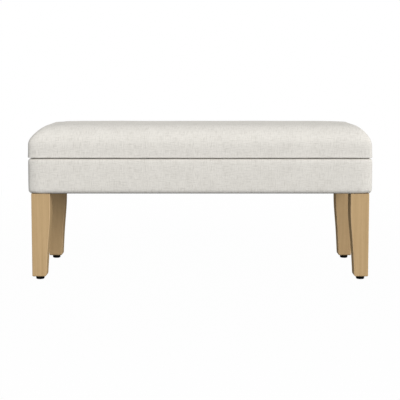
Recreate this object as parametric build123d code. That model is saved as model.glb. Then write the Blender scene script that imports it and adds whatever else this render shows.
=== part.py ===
"""Upholstered storage bench: a padded box on four tapered legs, under a thick hinged lid.

Row frame: millimetres, +X along the length, front towards -Y, +Z up, origin on the floor
under the centre of the bench.
"""
from build123d import *
import math
import os

os.makedirs("parts", exist_ok=True)

# ---------------------------------------------------------------- driving dimensions
# Outer form
seat_length = 1016.0
seat_depth = 406.0
seat_height = 457.0
lid_thickness = 91.5
seam_gap = 2.7
base_height = 103.6
lid_overhang = 1.5
corner_radius = 15.0
lid_bottom_roll = 6.0
base_top_roll = 9.0
base_bottom_roll = 13.0

# Crown of the lid: the rounding from the flat top down to the upright ends, and to the front and back
crown_end_run = 44.0
crown_end_drop = 41.5
crown_end_power = 1.36
crown_side_run = 96.0
crown_side_drop = 64.0
crown_side_power = 2.4
crown_steps = 10
crown_least_radius = 1.0

# Layers, from the outside in
cover_thickness = 1.2
layer_gap = 0.3
base_pad_thickness = 5.0
lid_batting_thickness = 5.0
liner_thickness = 0.8
dust_cover_thickness = 0.6

# Carcass
panel_thickness = 15.0
bottom_thickness = 12.0
lid_board_thickness = 15.0
panel_edge_round = 2.0
bottom_edge_round = 4.0
board_edge_round = 1.5
bottom_panel_inset = 4.0
cover_turn_under = 25.0
dust_cover_inset = 14.0
lid_lining_inset = 23.5
liner_top_drop = 1.0

# Legs
leg_width = 55.0
leg_foot_width = 41.8
leg_inset_x = 6.0
leg_inset_y = 8.5
leg_straight = 46.0
leg_waist_drop = 105.0
leg_waist_width = 47.9
leg_edge_round = 1.6
leg_edge_least = 40.0
leg_inner_round = 6.0
leg_outer_chamfer = 2.5

# Glides under the legs, and their nails
glide_height = 10.0
glide_top_radius = 12.9
glide_bottom_radius = 12.2
glide_edge_round = 2.5
nail_shank_radius = 1.25
nail_head_radius = 3.5
nail_head_height = 1.2
nail_recess = 2.0
nail_grip = 18.0

# Hanger bolts and tee nuts
bolt_radius = 4.0
bolt_grip = 42.0
tee_flange_radius = 10.0
tee_flange_thickness = 1.5
tee_barrel_radius = 5.2
hole_clearance = 0.1

# Screws: shank radius, head radius and head height
screw_radius = 1.75
screw_head_radius = 3.4
screw_head_height = 1.8
corner_screw_length = 40.0
corner_screws_per_joint = 3
corner_screw_margin = 18.0
bottom_screw_length = 32.0
bottom_screws_per_side = 5
bottom_screw_margin = 90.0
bottom_screw_edge = 5.5
hardware_screw_length = 12.0

# Hinges along the rear seam
hinge_count = 3
hinge_spread = 330.0
hinge_length = 75.0
hinge_knuckles = 5
hinge_pin_radius = 1.0
pin_clearance = 0.05
hinge_barrel_radius = 2.0
hinge_leaf_thickness = 1.0
hinge_leaf_reach = 20.0
hinge_back_inset = 2.0
knuckle_gap = 0.3
hinge_screw_spread = 25.0

# Bumpers between lid and base
bumper_radius = 5.0
bumper_clearance = 0.1
bumper_count = 4
bumper_margin = 36.0
bumper_front_inset = 16.0

# Folding lid stays, one in each end. Forward and down are counted from the hinge axis.
stay_lower_forward = 55.0
stay_lower_down = 55.0
stay_upper_forward = 122.5
stay_upper_down = 11.0
stay_lower_length = 110.1
stay_lower_angle = -6.7
stay_upper_angle = -53.74
stay_slot_near = 70.5
stay_slot_travel = 12.1
stay_arm_width = 14.0
stay_arm_thickness = 2.0
stay_plate_thickness = 1.5
stay_play = 0.3
stay_rivet_radius = 2.5
stay_head_radius = 4.8
stay_head_height = 1.4
slot_side_play = 0.35
stay_plate_width = 24.0
stay_plate_height = 38.0
stay_plate_round = 4.0
stay_base_screw_spread = 24.0
stay_tab_width = 24.0
stay_flange_width = 40.0
stay_flange_reach = 24.0
stay_lid_screw_spread = 24.0
stay_lid_screw_inset = 14.5

# ---------------------------------------------------------------- levels and half sizes
lid_bottom = seat_height - lid_thickness
base_top = lid_bottom - seam_gap
base_bottom = base_top - base_height
leg_top = base_bottom - dust_cover_thickness

lid_half_x = seat_length / 2
lid_half_y = seat_depth / 2
base_half_x = lid_half_x - lid_overhang
base_half_y = lid_half_y - lid_overhang

skin = cover_thickness + layer_gap
base_core_inset = skin + base_pad_thickness + layer_gap
lid_core_inset = skin + lid_batting_thickness + layer_gap

panel_outer_x = base_half_x - base_core_inset
panel_outer_y = base_half_y - base_core_inset
panel_inner_x = panel_outer_x - panel_thickness
panel_inner_y = panel_outer_y - panel_thickness
bottom_panel_low = base_bottom + skin
floor_level = bottom_panel_low + bottom_thickness
panel_top = base_top - skin

liner_outer_x = panel_inner_x - layer_gap
liner_outer_y = panel_inner_y - layer_gap
liner_inner_x = liner_outer_x - liner_thickness
liner_inner_y = liner_outer_y - liner_thickness
liner_low = floor_level + tee_flange_thickness + layer_gap
liner_top = panel_top - liner_top_drop

board_low = lid_bottom + skin
board_top = board_low + lid_board_thickness
lining_low = lid_bottom - dust_cover_thickness

hinge_y = lid_half_y - hinge_back_inset
hinge_z = base_top + seam_gap / 2

FRONT_BACK = (-1, 1)
LEFT_RIGHT = (-1, 1)
CORNERS = [(sx, sy) for sy in FRONT_BACK for sx in LEFT_RIGHT]
ON_BASE = (Align.CENTER, Align.CENTER, Align.MIN)
FROM_CORNER = (Align.MIN, Align.MIN, Align.MIN)


# ---------------------------------------------------------------- shared shapes
def block(half_x, half_y, low, high, radius=0.0, top_roll=0.0, bottom_roll=0.0):
    """An upright block with rounded corners in plan and rolled top and bottom edges."""
    if radius > 0:
        plan = RectangleRounded(2 * half_x, 2 * half_y, radius)
    else:
        plan = Rectangle(2 * half_x, 2 * half_y)
    solid = extrude(Pos(0, 0, low) * plan, high - low)
    widest = 0.95 * radius
    if top_roll > 0:
        solid = fillet(solid.faces().sort_by(Axis.Z)[-1].edges(), min(top_roll, widest))
    if bottom_roll > 0:
        solid = fillet(solid.faces().sort_by(Axis.Z)[0].edges(), min(bottom_roll, widest))
    return solid


def bar(low_x, thickness, start, end, width):
    """A flat bar with round ends, lying across X, between two (y, z) points."""
    length = math.dist(start, end)
    middle = [(a + b) / 2 for a, b in zip(start, end)]
    turn = math.degrees(math.atan2(end[1] - start[1], end[0] - start[0]))
    outline = Plane.YZ.offset(low_x) * Pos(*middle) * Rot(0, 0, turn) * SlotCenterToCenter(length, width)
    return extrude(outline, thickness)


def rod(start, direction, radius, length):
    """A round rod from a point along one of the axes."""
    return Plane(start, z_dir=direction) * Cylinder(radius, length, align=ON_BASE)


def screw(head_face, direction, length, clearance=0.0):
    """A countersunk screw whose head lies flush at head_face; with clearance, its drilled hole."""
    head = Cone(screw_head_radius + clearance, screw_radius + clearance, screw_head_height, align=ON_BASE)
    shank = Cylinder(screw_radius + clearance, length + clearance, align=ON_BASE)
    return Plane(head_face, z_dir=direction) * (head + shank)


def rivet(start, grip):
    """A rivet pointing inwards from the right-hand end: a shank of the given grip, then its head."""
    inward = (-1, 0, 0)
    head_start = (start[0] - grip, start[1], start[2])
    shank = rod(start, inward, stay_rivet_radius, grip)
    return shank + rod(head_start, inward, stay_head_radius, stay_head_height)


def drilled(solid, holes):
    """The solid with each hole cut from it."""
    for hole in holes:
        solid = solid - hole
    return solid


def save(node, *solids):
    """Write one named piece, or one group of identical pieces, as a STEP file."""
    shape = solids[0] if len(solids) == 1 else Compound(children=list(solids))
    export_step(shape, f"parts/{node}.step")


# ---------------------------------------------------------------- fastener positions
def evenly(count, half_span):
    """Places spread evenly from -half_span to half_span."""
    return [half_span * (2 * i / (count - 1) - 1) for i in range(count)]


corner_screw_x = (panel_outer_x + panel_inner_x) / 2
corner_screw_middle = (floor_level + panel_top) / 2
corner_screw_half = (panel_top - floor_level) / 2 - corner_screw_margin
corner_screw_spots = [
    ((sx * corner_screw_x, sy * panel_outer_y, corner_screw_middle + rise), (0, -sy, 0))
    for sx, sy in CORNERS
    for rise in evenly(corner_screws_per_joint, corner_screw_half)
]
bottom_screw_y = panel_outer_y - bottom_panel_inset - bottom_screw_edge
bottom_screw_spots = [
    ((x, sy * bottom_screw_y, bottom_panel_low), (0, 0, 1))
    for sy in FRONT_BACK
    for x in evenly(bottom_screws_per_side, panel_outer_x - bottom_screw_margin)
]

leg_outer_x = base_half_x - leg_inset_x
leg_outer_y = base_half_y - leg_inset_y
bolt_spots = [(sx * (leg_outer_x - leg_width / 2), sy * (leg_outer_y - leg_width / 2)) for sx, sy in CORNERS]
foot_spots = [
    (sx * (leg_outer_x - leg_foot_width / 2), sy * (leg_outer_y - leg_foot_width / 2)) for sx, sy in CORNERS
]

hinge_xs = evenly(hinge_count, hinge_spread)
hinge_screw_y = panel_outer_y - panel_thickness / 2
hinge_screw_xs = [x + step for x in hinge_xs for step in evenly(3, hinge_screw_spread)]
base_leaf_top = base_top + hinge_leaf_thickness
lid_leaf_low = lid_bottom - hinge_leaf_thickness
hinge_base_screw_spots = [((x, hinge_screw_y, base_leaf_top), (0, 0, -1)) for x in hinge_screw_xs]
hinge_lid_screw_spots = [((x, hinge_screw_y, lid_leaf_low), (0, 0, 1)) for x in hinge_screw_xs]

# Stay layers on the right-hand side, from the liner inwards; the left side is mirrored
stay_plate_x = liner_inner_x - stay_plate_thickness
stay_lower_x = stay_plate_x - stay_play - stay_arm_thickness
stay_upper_x = stay_lower_x - stay_play - stay_arm_thickness
stay_outer_face = stay_lower_x + stay_arm_thickness
stay_lower_pivot = (hinge_y - stay_lower_forward, hinge_z - stay_lower_down)
stay_upper_pivot = (hinge_y - stay_upper_forward, hinge_z - stay_upper_down)
stay_flange_low = lining_low - stay_plate_thickness


def stay_point(origin, reach, angle):
    """The (y, z) point at a reach and an angle, counted up from straight ahead."""
    return (
        origin[0] - reach * math.cos(math.radians(angle)),
        origin[1] + reach * math.sin(math.radians(angle)),
    )


stay_elbow = stay_point(stay_lower_pivot, stay_lower_length, stay_lower_angle)
stay_base_screw_spots = [
    ((stay_plate_x, stay_lower_pivot[0], stay_lower_pivot[1] + rise), (1, 0, 0))
    for rise in evenly(2, stay_base_screw_spread / 2)
]
stay_lid_screw_x = stay_outer_face - stay_lid_screw_inset
stay_lid_screw_spots = [
    ((stay_lid_screw_x, stay_upper_pivot[0] + step, stay_flange_low), (0, 0, 1))
    for step in evenly(2, stay_lid_screw_spread / 2)
]


def screws(spots, length, clearance=0.0):
    """One screw, or drilled hole, for each spot."""
    return [screw(spot, direction, length, clearance) for spot, direction in spots]


def both_sides(solids):
    """The right-hand solids and their mirror images for the left."""
    return solids + [mirror(solid, Plane.YZ) for solid in solids]


corner_holes = screws(corner_screw_spots, corner_screw_length, hole_clearance)
bottom_holes = screws(bottom_screw_spots, bottom_screw_length, hole_clearance)
hinge_base_holes = screws(hinge_base_screw_spots, hardware_screw_length, hole_clearance)
hinge_lid_holes = screws(hinge_lid_screw_spots, hardware_screw_length, hole_clearance)
stay_base_holes = both_sides(screws(stay_base_screw_spots, hardware_screw_length, hole_clearance))
stay_lid_holes = both_sides(screws(stay_lid_screw_spots, hardware_screw_length, hole_clearance))


# ---------------------------------------------------------------- base: carcass
core = block(
    panel_outer_x, panel_outer_y, floor_level, panel_top,
    corner_radius - base_core_inset, top_roll=panel_edge_round,
)
inside = block(panel_inner_x, panel_inner_y, floor_level, panel_top)
end_slab = block(panel_outer_x, panel_inner_y, floor_level, panel_top)
long_panels = core - end_slab
end_panels = (core & end_slab) - inside
front_panel, back_panel = long_panels.solids().sort_by(Axis.Y)
left_panel, right_panel = end_panels.solids().sort_by(Axis.X)
save("base_front_panel", drilled(front_panel, corner_holes + bottom_holes))
save("base_back_panel", drilled(back_panel, corner_holes + bottom_holes + hinge_base_holes))
save("base_left_panel", drilled(left_panel, corner_holes + stay_base_holes))
save("base_right_panel", drilled(right_panel, corner_holes + stay_base_holes))

bottom_panel = block(
    panel_outer_x - bottom_panel_inset, panel_outer_y - bottom_panel_inset, bottom_panel_low, floor_level,
    corner_radius - base_core_inset - bottom_panel_inset, bottom_roll=bottom_edge_round,
)
tee_holes = [
    rod((x, y, bottom_panel_low), (0, 0, 1), tee_barrel_radius + hole_clearance, bottom_thickness)
    for x, y in bolt_spots
]
save("base_bottom_panel", drilled(bottom_panel, bottom_holes + tee_holes))

save("corner_screws", *screws(corner_screw_spots, corner_screw_length))
save("bottom_screws", *screws(bottom_screw_spots, bottom_screw_length))


# ---------------------------------------------------------------- base: padding, cover and liner
def base_form(inset):
    """The outer form of the base, drawn in by an inset on every side."""
    return block(
        base_half_x - inset, base_half_y - inset, base_bottom + inset, base_top - inset,
        corner_radius - inset, base_top_roll - inset, base_bottom_roll - inset,
    )


pad_hole = block(panel_outer_x + layer_gap, panel_outer_y + layer_gap, base_bottom, base_top)
save("base_padding", base_form(skin) - pad_hole)

top_opening = block(panel_inner_x, panel_inner_y, floor_level, base_top)
bottom_opening = block(
    base_half_x - cover_turn_under, base_half_y - cover_turn_under, base_bottom, floor_level
)
base_cover = base_form(0) - base_form(cover_thickness) - top_opening - bottom_opening
save("base_cover", drilled(base_cover, hinge_base_holes))

liner = block(liner_outer_x, liner_outer_y, liner_low, liner_top)
liner = liner - block(liner_inner_x, liner_inner_y, liner_low + liner_thickness, liner_top)
save("compartment_liner", drilled(liner, stay_base_holes))

dust_cover = block(
    base_half_x - dust_cover_inset, base_half_y - dust_cover_inset, leg_top, base_bottom
)
dust_holes = [
    rod((x, y, leg_top), (0, 0, 1), bolt_radius + hole_clearance, dust_cover_thickness) for x, y in bolt_spots
]
save("bottom_dust_cover", drilled(dust_cover, dust_holes))


# ---------------------------------------------------------------- legs, bolts and glides
def leg_outline():
    """One face of a leg, from its outer edge at 0: straight at the top, then tapering inwards."""
    shoulder = (leg_width, leg_top - leg_straight)
    waist = (leg_waist_width, leg_top - leg_straight - leg_waist_drop)
    foot = (leg_foot_width, glide_height)
    foot_run = (foot[0] - waist[0], foot[1] - waist[1])
    taper = Spline(shoulder, waist, foot, tangents=[(0, -1), foot_run])
    rest = Polyline(
        foot,
        (leg_outer_chamfer, glide_height),
        (0, glide_height + leg_outer_chamfer),
        (0, leg_top),
        (leg_width, leg_top),
        shoulder,
    )
    outline = make_face([taper, rest])
    toe = outline.vertices().sort_by_distance(foot)[0]
    return fillet(toe, leg_inner_round)


def leg():
    """A leg with its outer corner on the Z axis, running towards +X and +Y."""
    along_x = extrude(Plane.XZ * leg_outline(), -leg_width)
    along_y = extrude(Plane.YZ * leg_outline(), leg_width)
    solid = along_x & along_y
    upright = [edge for edge in solid.edges() if edge.bounding_box().size.Z > leg_edge_least]
    solid = fillet(upright, leg_edge_round)
    middle = leg_width / 2
    bolt_hole = rod((middle, middle, leg_top - bolt_grip), (0, 0, 1), bolt_radius + hole_clearance, bolt_grip)
    foot_middle = leg_foot_width / 2
    nail_hole = rod(
        (foot_middle, foot_middle, glide_height), (0, 0, 1), nail_shank_radius + hole_clearance, nail_grip
    )
    return solid - bolt_hole - nail_hole


one_leg = leg()
leg_names = ["leg_front_left", "leg_front_right", "leg_rear_left", "leg_rear_right"]
for name, (sx, sy) in zip(leg_names, CORNERS):
    placed = one_leg
    if sx > 0:
        placed = mirror(placed, Plane.YZ)
    if sy > 0:
        placed = mirror(placed, Plane.XZ)
    save(name, Pos(sx * leg_outer_x, sy * leg_outer_y, 0) * placed)

bolt_length = bolt_grip + dust_cover_thickness + skin + bottom_thickness
save("leg_hanger_bolts", *[
    rod((x, y, leg_top - bolt_grip), (0, 0, 1), bolt_radius, bolt_length) for x, y in bolt_spots
])


def tee_nut(x, y):
    """A tee nut: a flange on the compartment floor and a barrel down through the bottom panel."""
    flange = rod((x, y, floor_level), (0, 0, 1), tee_flange_radius, tee_flange_thickness)
    barrel = rod((x, y, bottom_panel_low), (0, 0, 1), tee_barrel_radius, bottom_thickness)
    bore_length = bottom_thickness + tee_flange_thickness
    bore = rod((x, y, bottom_panel_low), (0, 0, 1), bolt_radius + hole_clearance, bore_length)
    return flange + barrel - bore


save("leg_tee_nuts", *[tee_nut(x, y) for x, y in bolt_spots])


def glide(x, y):
    """A tapered glide with a recess for its nail."""
    body = Cone(glide_bottom_radius, glide_top_radius, glide_height, align=ON_BASE)
    body = fillet(body.faces().sort_by(Axis.Z)[0].edges(), glide_edge_round)
    recess_depth = nail_recess + nail_head_height
    recess = rod((0, 0, 0), (0, 0, 1), nail_head_radius + hole_clearance, recess_depth)
    hole = rod((0, 0, 0), (0, 0, 1), nail_shank_radius + hole_clearance, glide_height)
    return Pos(x, y, 0) * (body - recess - hole)


def nail(x, y):
    """A glide nail, its head in the recess and its shank up in the leg."""
    head = rod((x, y, nail_recess), (0, 0, 1), nail_head_radius, nail_head_height)
    shank_length = glide_height + nail_grip - nail_recess
    return head + rod((x, y, nail_recess), (0, 0, 1), nail_shank_radius, shank_length)


save("leg_glides", *[glide(x, y) for x, y in foot_spots])
save("glide_nails", *[nail(x, y) for x, y in foot_spots])


# ---------------------------------------------------------------- lid
def crown_inset(height, run, drop, power):
    """How far the crown has rolled in, at a height under the flat top, along a superellipse."""
    share = max(0.0, 1 - height / drop)
    return run * (1 - (1 - share ** power) ** (1 / power))


def lid_form(inset, low, roll=0.0):
    """The outer form of the lid above a level, drawn in by an inset: upright sides and a crown."""
    half_x = lid_half_x - inset
    half_y = lid_half_y - inset
    radius = corner_radius - inset
    form_top = seat_height - inset
    body = block(half_x, half_y, low, form_top - crown_side_drop, radius, bottom_roll=roll)
    sections = []
    for step in range(crown_steps + 1):
        share = math.cos(math.pi / 2 * step / crown_steps)
        under_top = crown_side_drop * (1 - (1 - share ** crown_side_power) ** (1 / crown_side_power))
        end_inset = crown_inset(under_top, crown_end_run, crown_end_drop, crown_end_power)
        plan = RectangleRounded(
            2 * (half_x - end_inset),
            2 * (half_y - crown_side_run * (1 - share)),
            max(crown_least_radius, radius * share),
        )
        sections.append(Pos(0, 0, form_top - under_top) * plan)
    return body + loft(sections, ruled=True)


cover_hollow = lid_form(cover_thickness, lid_bottom + cover_thickness, lid_bottom_roll - cover_thickness)
cover_opening = block(
    lid_half_x - cover_turn_under - lid_overhang, lid_half_y - cover_turn_under - lid_overhang,
    lid_bottom, board_low,
)
lid_cover = lid_form(0, lid_bottom, lid_bottom_roll) - cover_hollow - cover_opening
save("lid_cover", drilled(lid_cover, hinge_lid_holes))

batting = lid_form(skin, board_low, lid_bottom_roll - skin)
batting_hollow = lid_form(skin + lid_batting_thickness, board_low)
save("lid_batting", batting - batting_hollow)
save("lid_foam", lid_form(lid_core_inset, board_top))

lid_board = block(
    lid_half_x - lid_core_inset, lid_half_y - lid_core_inset, board_low, board_top,
    corner_radius - lid_core_inset, bottom_roll=board_edge_round,
)
save("lid_board", drilled(lid_board, hinge_lid_holes + stay_lid_holes))

lid_lining = block(lid_half_x - lid_lining_inset, lid_half_y - lid_lining_inset, lining_low, lid_bottom)
save("lid_lining", drilled(lid_lining, stay_lid_holes))


# ---------------------------------------------------------------- hinges
def hinge_leaf(x, first_knuckle, leaf_low):
    """One leaf of a butt hinge with every second knuckle of the barrel."""
    plate_back = hinge_y - hinge_barrel_radius - knuckle_gap
    plate_front = hinge_y - hinge_leaf_reach
    plate = Pos(x, (plate_front + plate_back) / 2, leaf_low + hinge_leaf_thickness / 2) * Box(
        hinge_length, plate_back - plate_front, hinge_leaf_thickness
    )
    pitch = hinge_length / hinge_knuckles
    barrel_length = pitch - knuckle_gap
    web_back = hinge_y - (hinge_pin_radius + pin_clearance + hinge_barrel_radius) / 2
    leaf = plate
    for i in range(first_knuckle, hinge_knuckles, 2):
        low_x = x - hinge_length / 2 + i * pitch + knuckle_gap / 2
        web = Box(barrel_length, web_back - plate_back, hinge_leaf_thickness, align=FROM_CORNER)
        web = Pos(low_x, plate_back, leaf_low) * web
        leaf = leaf + web + rod((low_x, hinge_y, hinge_z), (1, 0, 0), hinge_barrel_radius, barrel_length)
    bore_low = (x - hinge_length / 2, hinge_y, hinge_z)
    return leaf - rod(bore_low, (1, 0, 0), hinge_pin_radius + pin_clearance, hinge_length)


base_leaves = [hinge_leaf(x, 0, base_top) for x in hinge_xs]
lid_leaves = [hinge_leaf(x, 1, lid_leaf_low) for x in hinge_xs]
save("hinge_base_leaves", *[drilled(leaf, hinge_base_holes) for leaf in base_leaves])
save("hinge_lid_leaves", *[drilled(leaf, hinge_lid_holes) for leaf in lid_leaves])
save("hinge_pins", *[
    rod((x - hinge_length / 2, hinge_y, hinge_z), (1, 0, 0), hinge_pin_radius, hinge_length) for x in hinge_xs
])
save("hinge_base_screws", *screws(hinge_base_screw_spots, hardware_screw_length))
save("hinge_lid_screws", *screws(hinge_lid_screw_spots, hardware_screw_length))


# ---------------------------------------------------------------- bumpers
bumper_y = -base_half_y + bumper_front_inset
save("lid_bumpers", *[
    rod((x, bumper_y, base_top), (0, 0, 1), bumper_radius, seam_gap - bumper_clearance)
    for x in evenly(bumper_count, base_half_x - bumper_margin)
])


# ---------------------------------------------------------------- folding lid stays
def stay_hole(low_x, thickness, spot, radius):
    """A round hole along X through a plate."""
    return rod((low_x, spot[0], spot[1]), (1, 0, 0), radius, thickness)


snug = stay_rivet_radius + pin_clearance
plate_outline = Plane.YZ.offset(stay_plate_x) * Pos(*stay_lower_pivot) * RectangleRounded(
    stay_plate_width, stay_plate_height, stay_plate_round
)
base_plate = extrude(plate_outline, stay_plate_thickness)
base_plate = base_plate - stay_hole(stay_plate_x, stay_plate_thickness, stay_lower_pivot, snug)
base_plate = drilled(base_plate, screws(stay_base_screw_spots, hardware_screw_length, hole_clearance))

lower_arm = bar(stay_lower_x, stay_arm_thickness, stay_lower_pivot, stay_elbow, stay_arm_width)
lower_arm = lower_arm - stay_hole(stay_lower_x, stay_arm_thickness, stay_lower_pivot, snug)
lower_arm = lower_arm - stay_hole(stay_lower_x, stay_arm_thickness, stay_elbow, snug)

slot_far = stay_slot_near + stay_slot_travel
slot_start = stay_point(stay_upper_pivot, stay_slot_near, stay_upper_angle)
slot_end = stay_point(stay_upper_pivot, slot_far, stay_upper_angle)
slot_width = 2 * (stay_rivet_radius + slot_side_play)
upper_arm = bar(stay_upper_x, stay_arm_thickness, stay_upper_pivot, slot_end, stay_arm_width)
upper_arm = upper_arm - bar(stay_upper_x, stay_arm_thickness, slot_start, slot_end, slot_width)
upper_arm = upper_arm - stay_hole(stay_upper_x, stay_arm_thickness, stay_upper_pivot, snug)

tab_height = stay_flange_low + stay_plate_thickness - stay_upper_pivot[1]
tab_middle = stay_flange_low + stay_plate_thickness - tab_height / 2
lid_tab = Pos(stay_lower_x + stay_arm_thickness / 2, stay_upper_pivot[0], tab_middle) * Box(
    stay_arm_thickness, stay_tab_width, tab_height
)
tab_end = rod((stay_lower_x, *stay_upper_pivot), (1, 0, 0), stay_tab_width / 2, stay_arm_thickness)
tab_flange = Pos(
    stay_outer_face - stay_flange_reach / 2, stay_upper_pivot[0], stay_flange_low + stay_plate_thickness / 2
) * Box(stay_flange_reach, stay_flange_width, stay_plate_thickness)
above_tab = Pos(stay_lower_x, stay_upper_pivot[0], lining_low + stay_tab_width / 2) * Box(
    4 * stay_arm_thickness, 2 * stay_tab_width, stay_tab_width
)
lid_bracket = (lid_tab + tab_end - above_tab) + tab_flange
lid_bracket = lid_bracket - stay_hole(stay_lower_x, stay_arm_thickness, stay_upper_pivot, snug)
lid_bracket = drilled(lid_bracket, screws(stay_lid_screw_spots, hardware_screw_length, hole_clearance))

lower_grip = liner_inner_x - stay_lower_x + stay_play
upper_grip = stay_outer_face - stay_upper_x + stay_play
base_rivet = rivet((liner_inner_x, *stay_lower_pivot), lower_grip)
lid_rivet = rivet((stay_outer_face, *stay_upper_pivot), upper_grip)
elbow_rivet = rivet((stay_outer_face, *stay_elbow), upper_grip)

save("stay_base_brackets", *both_sides([base_plate]))
save("stay_base_rivets", *both_sides([base_rivet]))
save("stay_base_screws", *both_sides(screws(stay_base_screw_spots, hardware_screw_length)))
save("stay_lid_brackets", *both_sides([lid_bracket]))
save("stay_lid_rivets", *both_sides([lid_rivet]))
save("stay_lid_screws", *both_sides(screws(stay_lid_screw_spots, hardware_screw_length)))
for side, arm_side in (("right", lambda solid: solid), ("left", lambda solid: mirror(solid, Plane.YZ))):
    save(f"stay_lower_arm_{side}", arm_side(lower_arm))
    save(f"stay_elbow_rivet_{side}", arm_side(elbow_rivet))
    save(f"stay_upper_arm_{side}", arm_side(upper_arm))
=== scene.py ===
# %% [markdown]
# # An upholstered storage bench
#
# The bench is a padded box on four tapered wooden legs, under a thick lid that opens on three
# hinges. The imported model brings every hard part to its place, and this lesson dresses it:
# it sews the covers, fits the wadding and foam, lays the linings, drives the staples and
# finishes each material.
#
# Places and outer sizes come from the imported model's own boxes, so that the dressed bench and
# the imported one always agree. Rolls, thicknesses and stitches have sizes of their own, each
# named where it is first needed.

# %% Load the bench
import math

import bmesh
import bpy
from mathutils import Matrix, Vector, noise


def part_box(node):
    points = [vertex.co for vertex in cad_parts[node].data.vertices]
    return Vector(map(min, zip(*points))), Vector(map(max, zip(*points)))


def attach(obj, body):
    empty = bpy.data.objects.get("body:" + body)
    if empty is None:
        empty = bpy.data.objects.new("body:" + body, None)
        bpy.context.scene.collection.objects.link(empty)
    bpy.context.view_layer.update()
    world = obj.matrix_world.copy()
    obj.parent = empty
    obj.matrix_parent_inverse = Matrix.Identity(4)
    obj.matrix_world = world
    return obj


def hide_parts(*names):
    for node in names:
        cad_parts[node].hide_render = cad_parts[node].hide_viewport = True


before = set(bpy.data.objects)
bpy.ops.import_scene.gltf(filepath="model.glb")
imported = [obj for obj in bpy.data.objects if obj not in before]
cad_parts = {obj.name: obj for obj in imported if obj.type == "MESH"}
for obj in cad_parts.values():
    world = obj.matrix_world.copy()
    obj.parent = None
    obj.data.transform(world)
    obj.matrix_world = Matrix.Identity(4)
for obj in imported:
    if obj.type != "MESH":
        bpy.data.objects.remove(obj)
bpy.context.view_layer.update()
scene = bpy.context.scene

MM = 0.001

# %% [markdown]
# ## The camera
#
# A long lens from about three metres away keeps the long front edge straight and shows only a
# sliver of the top. The camera looks down by about five degrees. Its frame is shifted a little,
# as a view camera's back would be, so that the legs stay almost upright.

# %% Place the camera
CAMERA_PLACE = (0, -3.1396, 0.6198)
CAMERA_DOWN = math.radians(4.94)

camera_data = bpy.data.cameras.new("studio_camera")
camera_data.lens = 90.26
camera_data.sensor_width = 36
camera_data.shift_x = -0.0006
camera_data.shift_y = -0.1053
camera = bpy.data.objects.new("studio_camera", camera_data)
camera.location = CAMERA_PLACE
camera.rotation_euler = (math.pi / 2 - CAMERA_DOWN, 0, 0)
scene.collection.objects.link(camera)
scene.camera = camera
print("camera height, m:", camera.location.z)

# %% [markdown]
# ## Node helpers
#
# A material is a small network of nodes, and written out in full, every network needs the same
# three steps: make a node, fill its sockets, join it to the next one. A few helpers take those
# steps, so that each finish below reads as a recipe. A value that is the same all over a
# surface goes straight on the shader's own socket. A socket knows its network, so a helper
# that is given one needn't be told where its node belongs.
#
# A solid part reads its place in the bench, in metres. A cloth part reads its cloth map, which
# holds each point's place on the flat cloth.


# %% Helpers for materials
def add(tree, kind, sockets=None, **settings):
    """Add a shader node and fill its sockets, each with a value or with another node's output."""
    node = tree.nodes.new("ShaderNode" + kind)
    for name, value in settings.items():
        setattr(node, name, value)
    for name, value in (sockets or {}).items():
        if isinstance(value, bpy.types.NodeSocket):
            tree.links.new(value, node.inputs[name])
        else:
            node.inputs[name].default_value = value
    return node


def new_finish(name, color, roughness, gloss=0.5, sockets=None):
    """Start a finish: a material whose Principled shader has its plain sockets set."""
    finish = bpy.data.materials.new(name)
    finish.use_nodes = True
    tree = finish.node_tree
    tree.nodes.clear()
    plain = {"Base Color": (*color, 1), "Roughness": roughness, "Specular IOR Level": gloss}
    shader = add(tree, "BsdfPrincipled", {**plain, **(sockets or {})})
    output = add(tree, "OutputMaterial")
    tree.links.new(shader.outputs["BSDF"], output.inputs["Surface"])
    return finish, tree, shader


def solid_place(tree):
    """Each point's place in the bench, in metres."""
    return add(tree, "TexCoord").outputs["Object"]


def cloth_place(tree):
    """Each point's place on the flat cloth, in metres."""
    return add(tree, "UVMap", uv_map="cloth").outputs["UV"]


def axis_of(place, axis):
    """One axis of a place."""
    return add(place.id_data, "SeparateXYZ", {"Vector": place}).outputs[axis]


def noise_at(place, scale, detail=2.0):
    """Soft noise on a place that is scaled per axis, so 1 means one patch per metre."""
    tree = place.id_data
    spots = add(tree, "Mapping", {"Vector": place, "Scale": scale}).outputs["Vector"]
    return add(tree, "TexNoise", {"Vector": spots, "Scale": 1.0, "Detail": detail}).outputs["Fac"]


def maths(operation, first, second=0.0):
    """One Math node."""
    return add(first.id_data, "Math", {0: first, 1: second}, operation=operation).outputs[0]


def weighed(first, first_weight, second, second_weight):
    """The sum of two patterns, each with its own weight."""
    first, second = maths("MULTIPLY", first, first_weight), maths("MULTIPLY", second, second_weight)
    return maths("ADD", first, second)


def wave(operation, place, axis, turn):
    """A sine or cosine wave along one axis of a place."""
    return maths(operation, maths("MULTIPLY", axis_of(place, axis), turn))


def between(factor, low_color, high_color):
    """Two colours, mixed by a factor."""
    tree = factor.id_data
    mix = add(tree, "Mix", {0: factor}, data_type="RGBA")
    for slot, color in ((6, low_color), (7, high_color)):
        if isinstance(color, bpy.types.NodeSocket):
            tree.links.new(color, mix.inputs[slot])
        else:
            mix.inputs[slot].default_value = (*color, 1)
    return mix.outputs[2]


def ranged(value, low, high, new_low=0.0, new_high=1.0):
    """A value, stretched from one range to another and held at its ends."""
    sockets = {"Value": value, 1: low, 2: high, 3: new_low, 4: new_high}
    return add(value.id_data, "MapRange", sockets).outputs["Result"]


def tinted(color, tint, pattern, low, high, share):
    """A colour that takes up to a share of a tint, as a pattern goes from low to high."""
    return between(ranged(pattern, low, high, 0.0, share), color, tint)


def coat(shader, color, roughness=None):
    """Let a pattern give the shader its colour and, if there is one, its roughness."""
    links = shader.id_data.links
    links.new(color, shader.inputs["Base Color"])
    if roughness is not None:
        links.new(roughness, shader.inputs["Roughness"])


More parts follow.
